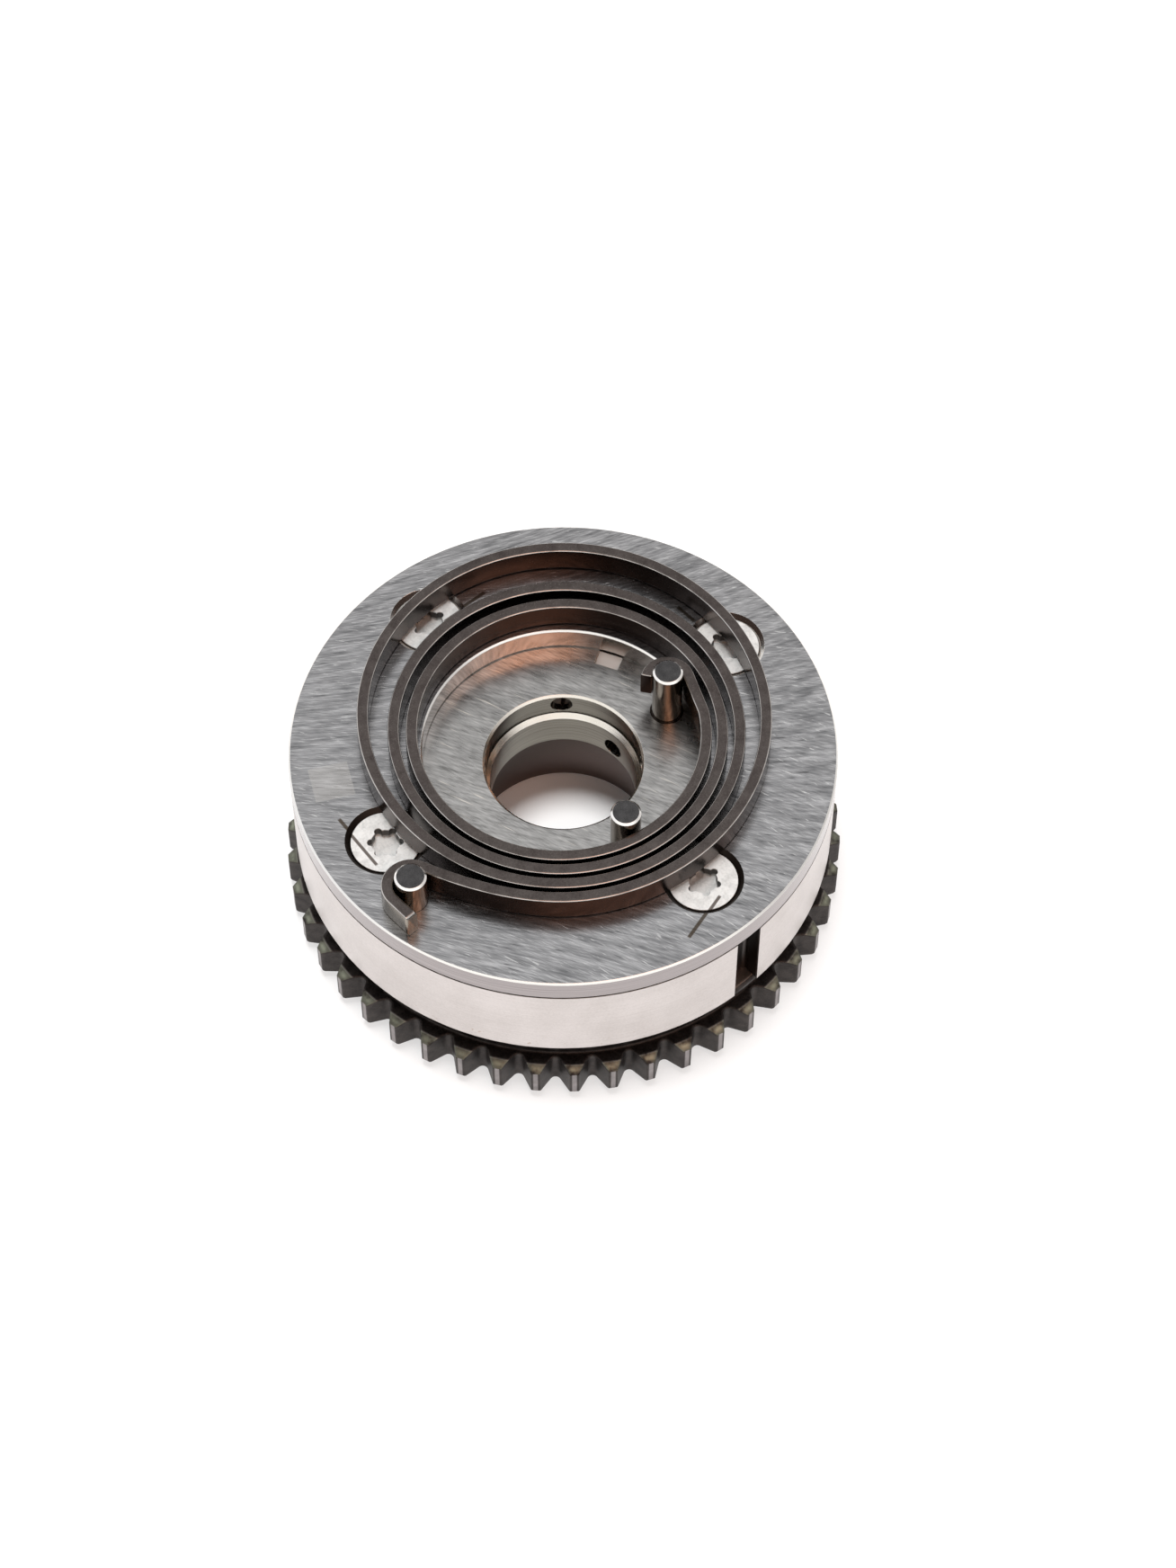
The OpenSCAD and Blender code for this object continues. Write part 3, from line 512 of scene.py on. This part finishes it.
# Pins: three dowels of hardened steel, ground to size and chamfered at the top, pressed home. One in
# the cover and one in the rotor hold the ends of the spring, and the third keeps its turns in place.
pin_dark = (0.055, 0.054, 0.055)
pin_light = (0.105, 0.103, 0.104)
pin_side_dark = (0.15, 0.125, 0.10)
pin_side_light = (0.34, 0.295, 0.245)
pin_rim_highlight = (0.92, 0.89, 0.86)

dowel_steel, place = start_finish("hardened_steel")
ground = stretched(place, (0.9, 0.9, 6), 20)
blemish = cloud(place, 1.1, 21, 3)
grain = cloud(place, 0.2, 25)
up = facing_up(place)
top = step(up, 0.9, 0.97)
skin = ramp(0.5 * grain + 0.5 * blemish, (0.35, pin_dark), (0.65, pin_light))
side = ramp(ground, (0.35, pin_side_dark), (0.65, pin_side_light))
# Painted highlight: the top chamfers are made nearly white.
side = tint(band(up, 0.4, 0.86, 0.1), side, pin_rim_highlight)
end_finish(dowel_steel, tint(top, side, skin), 0.1 + 0.08 * ground + 0.22 * top, grain, 0.003, soft=0.1)
put_finish(dowel_steel, "hook_pin", "guide_pin", "anchor_pin")

# Bias spring: a flat spiral of rolled spring-steel strip that lies on the cover, with rounded edges. It
# is hooked round the pin in the cover and round a rotor pin, and winds up as the rotor turns.
strip_thick = 1.9
strip_room = 0.1
strip_edge = 0.28
edge_segments = 4
tail_step = 1
arc_step = 8
coil_step = 3
coil_turns = 3
coil_room = 0.85
coil_pitch = 2.6
coil_bulge = 6.65
bulge_angle = 96
bulge_fade = 0.17
hook_radius = 3.85
hook_lean = -90
hook_start = 223
hook_tail = 4.7
hook_end = 66
lead_sweep = 42
coil_end_angle = 9
wrap_end = 172
anchor_angle = -130
strip_dark = (0.072, 0.060, 0.056)
strip_light = (0.130, 0.113, 0.105)
worn_edge_highlight = (0.58, 0.55, 0.525)
strip_side = (0.055, 0.038, 0.032)
hook_wall_highlight = (0.30, 0.27, 0.23)


def middle(name):
    """Middle of a pin's outline, seen along the axis, and its radius, in millimetres."""
    low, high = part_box(name)
    centre = Vector(((low.x + high.x) / 2, (low.y + high.y) / 2)) * 1000
    return centre, (high.x - low.x) * 500


def around(centre, radius, angle):
    """Point on a circle, at an angle in degrees."""
    turn = math.radians(angle)
    return centre + radius * Vector((math.cos(turn), math.sin(turn)))


def angle_of(vector):
    """Direction of a flat vector, in degrees."""
    return math.degrees(math.atan2(vector.y, vector.x))


def even_steps(first, last, size):
    """Values from first to last, in equal steps of about that size."""
    count = math.ceil(abs(last - first) / size)
    return [first + (last - first) * number / count for number in range(count + 1)]


axis = Vector((0, 0))
anchor, anchor_pin_r = middle("anchor_pin")
hook_pin, rotor_pin_r = middle("hook_pin")
coil_end_r = hook_pin.length + rotor_pin_r + coil_room
coil_r = coil_end_r + coil_pitch * (coil_turns + (coil_end_angle - anchor_angle) / 360)
hook_centre = around(anchor, hook_radius - strip_thick / 2 - anchor_pin_r - strip_room, hook_lean)
coil_start = around(hook_centre, hook_radius, hook_end)
coil_angle = angle_of(coil_start)
coil_sweep = coil_turns * 360 + coil_end_angle - coil_angle


def coil_point(sweep):
    """Point on the spiral, at an angle in degrees from its outer end."""
    past = coil_angle + sweep - bulge_angle + 180
    turns_in = math.floor(past / 360)
    bulge = coil_bulge * bulge_fade ** turns_in * abs(math.sin(math.radians(past / 2))) ** 3
    lead = (coil_start.length - coil_r) * max(1 - sweep / lead_sweep, 0) ** 3
    radius = coil_r - coil_pitch * sweep / 360 + (bulge if past > 0 else 0) + lead
    return around(axis, radius, coil_angle + sweep)


wrap_radius = rotor_pin_r + strip_room + strip_thick / 2
coil_end = coil_point(coil_sweep) - hook_pin
wrap_start = angle_of(coil_end) + math.degrees(math.acos(wrap_radius / coil_end.length))
bend = around(hook_centre, hook_radius, hook_start)
tail_lengths = even_steps(hook_tail, 0, tail_step)[:-1]
hook_angles = even_steps(hook_start, hook_end, arc_step)[:-1]
wrap_angles = even_steps(wrap_start, wrap_end, arc_step)
centre_line = [around(bend, length, hook_start + 90) for length in tail_lengths]
centre_line += [around(hook_centre, hook_radius, angle) for angle in hook_angles]
centre_line += [coil_point(sweep) for sweep in even_steps(0, coil_sweep, coil_step)]
centre_line += [around(hook_pin, wrap_radius, angle) for angle in wrap_angles]

strip_low, strip_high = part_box("bias_spring")
strip_tall = (strip_high.z - strip_low.z) * 1000
strip_middle = (strip_high.z + strip_low.z) * 500
ways = [centre_line[min(number + 1, len(centre_line) - 1)] - centre_line[max(number - 1, 0)]
        for number in range(len(centre_line))]
strip = bmesh.new()
bmesh.ops.create_grid(strip, x_segments=1, y_segments=1, size=0.5)
bmesh.ops.scale(strip, vec=(strip_thick, strip_tall, 1), verts=strip.verts)
bmesh.ops.bevel(strip, geom=strip.verts[:], offset=strip_edge, offset_type="OFFSET", affect="VERTICES",
                segments=edge_segments, profile=0.5, material=-1)
bmesh.ops.rotate(strip, cent=(0, 0, 0), matrix=quarter_turn, verts=strip.verts)
ring = strip.edges[:]
verts = strip.verts[:]
here, heading = axis, 90
for number, (point, way) in enumerate(zip(centre_line, ways)):
    if number:
        extruded = bmesh.ops.extrude_edge_only(strip, edges=ring)["geom"]
        verts = [part for part in extruded if isinstance(part, bmesh.types.BMVert)]
        ring = [part for part in extruded if isinstance(part, bmesh.types.BMEdge)]
    facing = angle_of(way)
    turn = Matrix.Rotation(math.radians(facing - heading), 3, "Z")
    bmesh.ops.rotate(strip, cent=(*here, 0), matrix=turn, verts=verts)
    bmesh.ops.translate(strip, vec=(*(point - here), 0), verts=verts)
    here, heading = point, facing
bmesh.ops.contextual_create(strip, geom=ring)
bmesh.ops.translate(strip, vec=(0, 0, strip_middle), verts=strip.verts)
bmesh.ops.scale(strip, vec=(0.001, 0.001, 0.001), verts=strip.verts)
bmesh.ops.recalc_face_normals(strip, faces=strip.faces)
for face in strip.faces:
    face.smooth = True
spring = make_piece("bias_spring_strip", strip)
spring.modifiers.new("flat_faces", "WEIGHTED_NORMAL")

spring_steel, place = start_finish("spring_strip")
blemish = cloud(place, 2.2, 22, 3)
grain = cloud(place, 0.25, 23)
up = facing_up(place)
edge = band(up, 0.42, 0.88, 0.1)
skin = ramp(0.5 * blemish + 0.5 * grain, (0.35, strip_dark), (0.65, strip_light))
# Painted light: the sides of the strip near the hook's bend are made paler.
near_bend_light = step(distance_from(place, bend), hook_tail + 1.4, hook_tail + 0.4)
wall = tint(near_bend_light, strip_side, hook_wall_highlight)
skin = tint(step(up, 0.3, 0.1), skin, wall)
# The rounded edges are made pale in patches: wear and a painted highlight.
skin = tint(edge * (0.55 + 0.45 * step(blemish, 0.3, 0.55)), skin, worn_edge_highlight)
end_finish(spring_steel, skin, 0.18 + 0.14 * grain, grain, 0.004)
spring.data.materials.append(spring_steel)
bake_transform(spring, "housing_body", "rotor_body", start=(*anchor / 1000, 0), end=(*hook_pin / 1000, 0))

lengths = [0]
for before, after in zip(centre_line, centre_line[1:]):
    lengths.append(lengths[-1] + (after - before).length)
nearest = KDTree(len(centre_line))
for number, point in enumerate(centre_line):
    nearest.insert((*point / 1000, 0), number)
nearest.balance()
for vertex, share in zip(spring.data.vertices, spring.data.attributes["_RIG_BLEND"].data):
    number = nearest.find((vertex.co.x, vertex.co.y, 0))[1]
    share.value = lengths[number] / lengths[-1]
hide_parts("bias_spring")

# Stage: a white table under the part, which shows white to the camera and in the metal and keeps the
# part's soft shadow. It hardly glows right under the part, and far off it is plain white. Its height and
# half width are in metres.
table_height = -0.0001
table_half = 3
table_colour = (0.94, 0.938, 0.935)
table_white = (1.0, 1.0, 1.0)
table_share = 0.6
under_radii = (14, 46)
under_share = 0.06
far_radii = (150, 500)

grid = bmesh.new()
bmesh.ops.create_grid(grid, x_segments=1, y_segments=1, size=table_half)
bmesh.ops.translate(grid, vec=(0, 0, table_height), verts=grid.verts)
table = make_piece("table", grid)


def seen_directly(start):
    """Mask of the rays that show a background: from the camera, off metal and through glass."""
    rays = [start.node("ShaderNodeLightPath", output=ray)
            for ray in ("Is Camera Ray", "Is Glossy Ray", "Is Transmission Ray")]
    return rays[0].math("MINIMUM", rays[0] + rays[1] + rays[2], 1)


white, place = start_finish("white_table", metallic=0.0, Base_Color=(*table_colour, 1), Roughness=0.8,
                            Specular_IOR_Level=0)
matt = Field(white.node_tree, white.node_tree.nodes["Principled BSDF"].outputs[0])
glow = place.node("ShaderNodeEmission", {}, {"Color": table_white})
reach = axis_distance(place)
clear = under_share + (1 - under_share) * step(reach, *under_radii)
share = seen_directly(place) * (table_share * clear + (1 - table_share) * step(reach, *far_radii))
paper = share.node("ShaderNodeMixShader", {}, {0: share, 1: matt, 2: glow})
white.node_tree.links.new(paper.socket, white.node_tree.nodes["Material Output"].inputs["Surface"])
table.data.materials.append(white)

# Light: a pale room, dimmer low down but bright low at the front and overhead, with a copper-coloured
# wall at the right and two dark corners, left of the camera and above it. One small soft lamp overhead
# gives the shadow, and the metal doesn't mirror it. Its place and size are in metres.
room_low = (0.73, 0.712, 0.705)
room_high = (0.97, 0.97, 0.98)
room_left = (1.12, 1.14, 1.17)
room_front = (1.22, 1.21, 1.19)
room_copper = (2.4, 1.2, 0.75)
room_dark = (0.12, 0.10, 0.09)
room_above = (1.6, 1.59, 1.57)
room_white = (1, 1, 1)
copper_way = (0.36, -0.36, 0.86)
corner_way = (-0.42, -0.38, 0.83)
above_way = (-0.12, -0.42, 0.90)
lamp_place = (-0.06, 0.05, 1.2)
lamp_size = 0.36
lamp_watts = 13.0

scene = bpy.context.scene
world = bpy.data.worlds.new("room")
world.use_nodes = True
scene.world = world
background = world.node_tree.nodes["Background"]
way = Field(world.node_tree).node("ShaderNodeTexCoord", output="Generated")
toward_x, toward_y, toward_z = split(way)


def toward(direction):
    """How nearly a ray runs in a direction: 1 along it, less to its sides."""
    inputs = {0: way, 1: Vector(direction).normalized()}
    return way.node("ShaderNodeVectorMath", {"operation": "DOT_PRODUCT"}, inputs, "Value")


room = tint(step(toward_z, 0.76, 0.91), room_low, room_high)
room = tint(0.7 * step(toward_x, 0.0, -0.7), room, room_left)
room = tint(step(toward_z, 0.95, 0.985), room, room_above)
room = tint(step(toward_y, -0.15, -0.7) * step(toward_z, 0.75, 0.5), room, room_front)
room = tint(step(toward(corner_way), 0.90, 0.97), room, room_dark)
room = tint(step(toward(above_way), 0.955, 0.985), room, room_dark)
copper = step(toward(copper_way), 0.82, 0.90) * band(toward_z, 0.68, 0.88, 0.03)
room = tint(copper * step(toward_x, 0.58, 0.48), room, room_copper)
room = tint(way.node("ShaderNodeLightPath", output="Is Camera Ray"), room, room_white)
world.node_tree.links.new(room.socket, background.inputs["Color"])

lamp_data = bpy.data.lights.new("soft_lamp", "AREA")
lamp_data.shape = "DISK"
lamp_data.size = lamp_size
lamp_data.energy = lamp_watts
lamp = bpy.data.objects.new("soft_lamp", lamp_data)
lamp.location = lamp_place
lamp.rotation_euler = (-Vector(lamp_place)).to_track_quat("-Z", "Y").to_euler()
lamp.visible_glossy = False
scene.collection.objects.link(lamp)

# Camera: where the picture was taken from, above the front edge, aimed near the middle of the cover. Its
# place was fitted together with the circle of the tooth tips. The distance is in metres.
picture_height = 1744
focal_pixels = 4232.6
camera_distance = 0.62586
camera_elevation = math.radians(56.485)
camera_pan = -0.006454
camera_tilt = 0.009918
camera_roll = -0.007856

cover_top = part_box("front_cover")[1].z
camera_data = bpy.data.cameras.new("camera")
camera_data.lens = camera_data.sensor_width * focal_pixels / picture_height
camera = bpy.data.objects.new("camera", camera_data)
turn = (Matrix.Rotation(math.pi / 2 - camera_elevation, 4, "X") @ Matrix.Rotation(camera_pan, 4, "Y")
        @ Matrix.Rotation(-camera_tilt, 4, "X") @ Matrix.Rotation(camera_roll, 4, "Z"))
stand = Vector((0, -math.cos(camera_elevation), math.sin(camera_elevation))) * camera_distance
camera.matrix_world = Matrix.Translation(stand + Vector((0, 0, cover_top))) @ turn
scene.collection.objects.link(camera)
scene.camera = camera
scene.view_settings.view_transform = "Standard"
